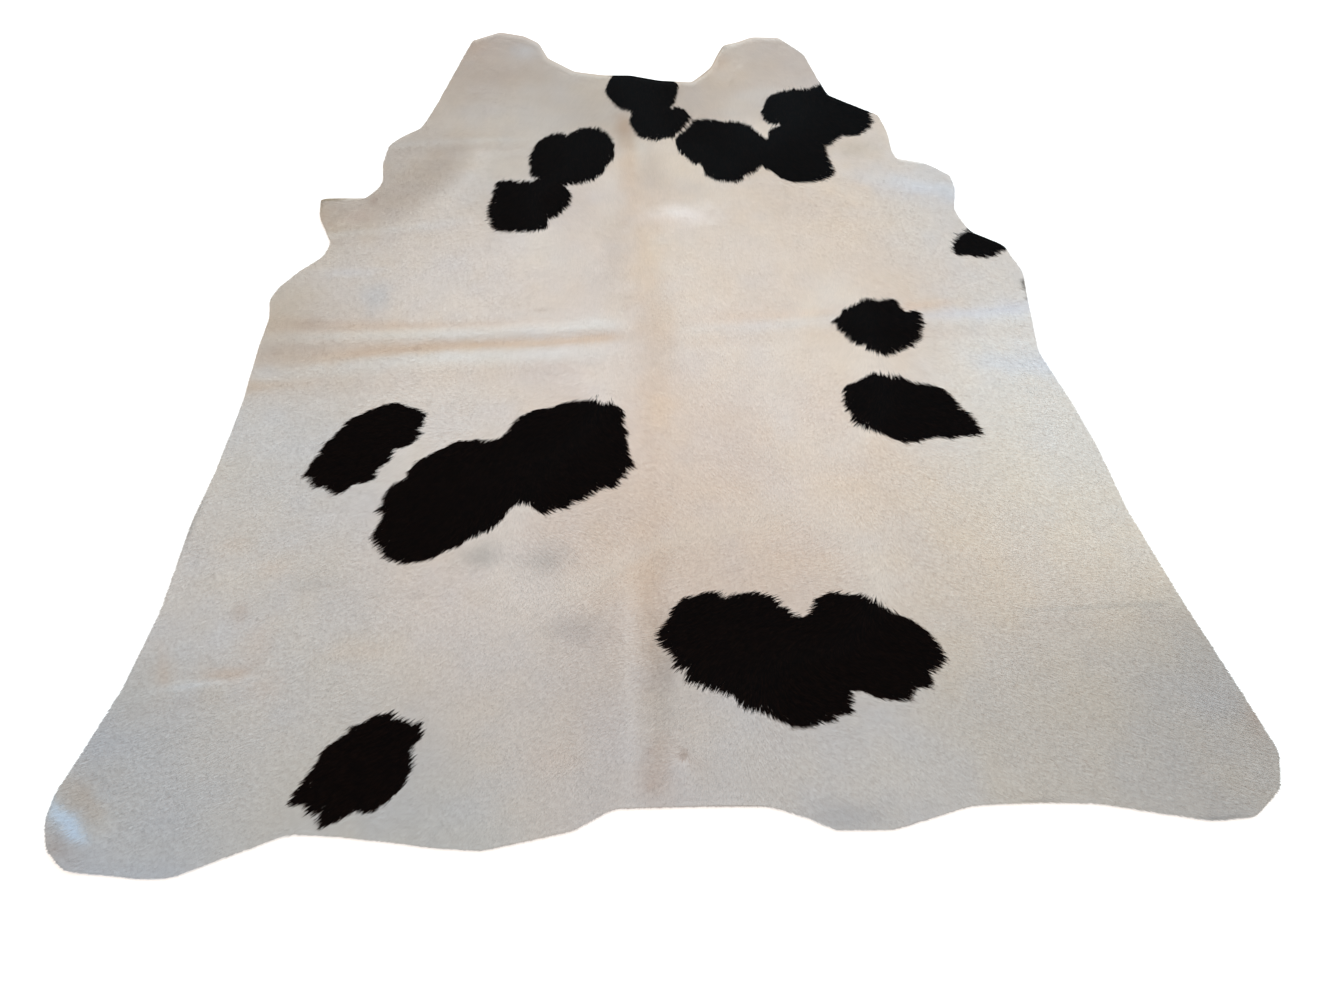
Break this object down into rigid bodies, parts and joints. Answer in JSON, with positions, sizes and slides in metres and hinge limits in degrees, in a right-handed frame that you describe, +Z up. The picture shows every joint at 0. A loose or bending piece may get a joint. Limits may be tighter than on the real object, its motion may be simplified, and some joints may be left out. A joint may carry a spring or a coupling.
{
  "type": "cowhide rug",
  "caption": "Whole cowhide laid flat as a rug, short cream hair with black patches, irregular outline with neck, leg flaps and tail edge.",
  "frame": {"origin": "centre of the bounding box in plan, on the floor that the flesh side lies on", "axes": "+Z up out of the hair side, +Y along the spine from the tail edge to the neck, +X to the right seen from the tail with the hair up"},
  "size_m": [1.9374, 2.1872, 0.0143],
  "materials": {
    "hair_on_hide": "short natural hair, cream with black patches, suede underside"
  },
  "bodies": {
    "root": {"hide": "hair_on_hide"}
  },
  "joints": []
}
